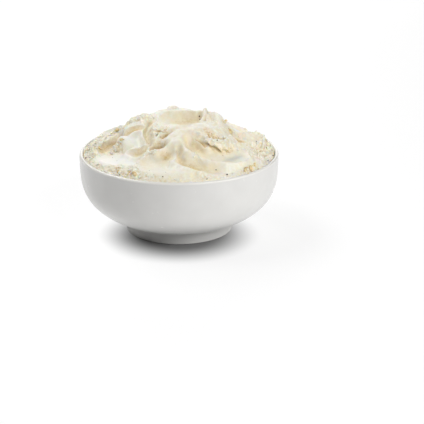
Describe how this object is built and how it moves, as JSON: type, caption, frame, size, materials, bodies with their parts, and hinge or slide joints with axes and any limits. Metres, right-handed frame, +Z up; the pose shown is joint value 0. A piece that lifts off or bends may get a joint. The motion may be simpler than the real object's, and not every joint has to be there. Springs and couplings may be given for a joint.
{
  "type": "bowl of mashed potato",
  "caption": "Round white serving bowl on a foot ring, heaped with mashed potato swirled by a spoon into troughs, crests and soft folds, with pepper and bits of skin.",
  "frame": {"origin": "middle of the foot ring's base, on the table", "axes": "+Z up, +Y towards the back of the heap as it is served, +X to the right"},
  "size_m": [0.22, 0.22, 0.1323],
  "materials": {
    "white_glaze": "smooth white glaze, satin gloss",
    "mash": "moist cream-white mash, smooth in the spoon marks and grainy between them"
  },
  "bodies": {
    "root": {"bowl": "white_glaze", "mashed_potato": "mash"}
  },
  "joints": []
}
